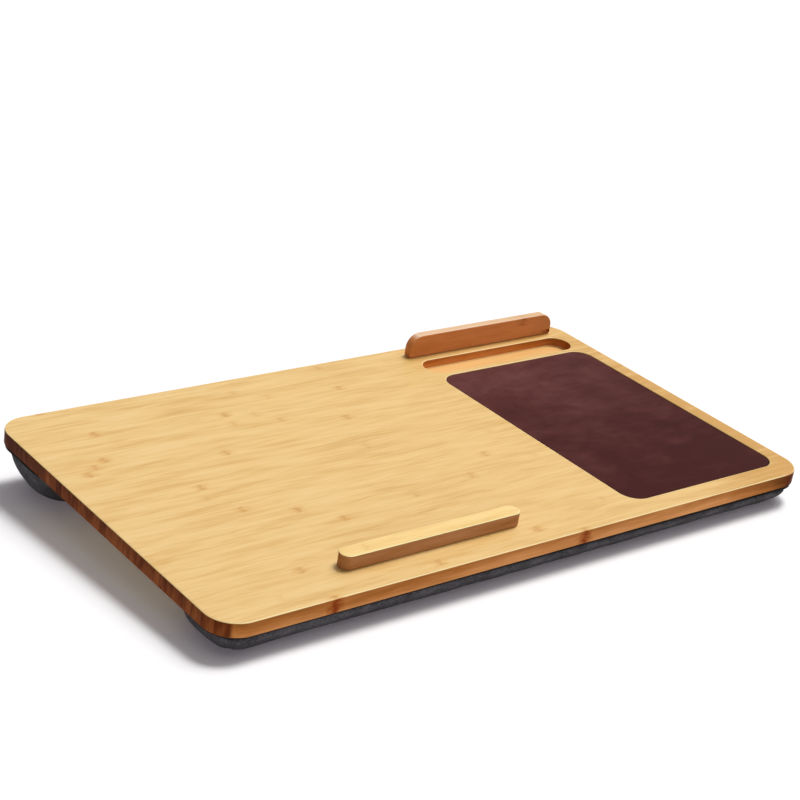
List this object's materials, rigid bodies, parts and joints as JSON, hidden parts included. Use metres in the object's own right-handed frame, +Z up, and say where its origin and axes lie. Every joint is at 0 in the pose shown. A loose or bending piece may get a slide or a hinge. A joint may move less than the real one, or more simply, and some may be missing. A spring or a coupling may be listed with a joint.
{
  "type": "lap desk",
  "caption": "Sloping bamboo lap desk on two fabric bolsters, with a laptop ledge, an inset leather mouse pad and a blind phone slot with a fence.",
  "frame": {"origin": "centre of the overall box, on the surface that the bolsters rest on", "axes": "+Z up, +Y to the rear, away from the user, +X to the user's right, where the mouse pad is"},
  "size_m": [0.533, 0.3, 0.0655],
  "materials": {
    "bamboo": "laminated bamboo, natural colour, satin lacquer",
    "carbonised_bamboo": "carbonised laminated bamboo, satin lacquer",
    "burgundy_leather": "smooth coated leather, matt",
    "pad_foam": "thin closed-cell foam",
    "zinc_plated_steel": "zinc plated",
    "hook_and_loop_tape": "woven nylon tape",
    "black_backing_sheet": "black non-woven backing sheet",
    "charcoal_fabric": "charcoal heather jersey",
    "polyester_stuffing": "white polyester wadding"
  },
  "bodies": {
    "root": {"board": "bamboo", "laptop_ledge": "bamboo", "phone_fence": "carbonised_bamboo", "mouse_pad_leather": "burgundy_leather", "mouse_pad_foam": "pad_foam", "ledge_screw_left": "zinc_plated_steel", "ledge_screw_right": "zinc_plated_steel", "fence_screw_left": "zinc_plated_steel", "fence_screw_right": "zinc_plated_steel", "hook_patch_front_left": "hook_and_loop_tape", "hook_patch_front_right": "hook_and_loop_tape", "hook_patch_rear_left": "hook_and_loop_tape", "hook_patch_rear_right": "hook_and_loop_tape", "loop_patch_front_left": "hook_and_loop_tape", "loop_patch_front_right": "hook_and_loop_tape", "loop_patch_rear_left": "hook_and_loop_tape", "loop_patch_rear_right": "hook_and_loop_tape", "front_bolster_base": "black_backing_sheet", "rear_bolster_base": "black_backing_sheet", "front_bolster_cover": "charcoal_fabric", "rear_bolster_cover": "charcoal_fabric", "front_bolster_fill": "polyester_stuffing", "rear_bolster_fill": "polyester_stuffing"}
  },
  "joints": []
}
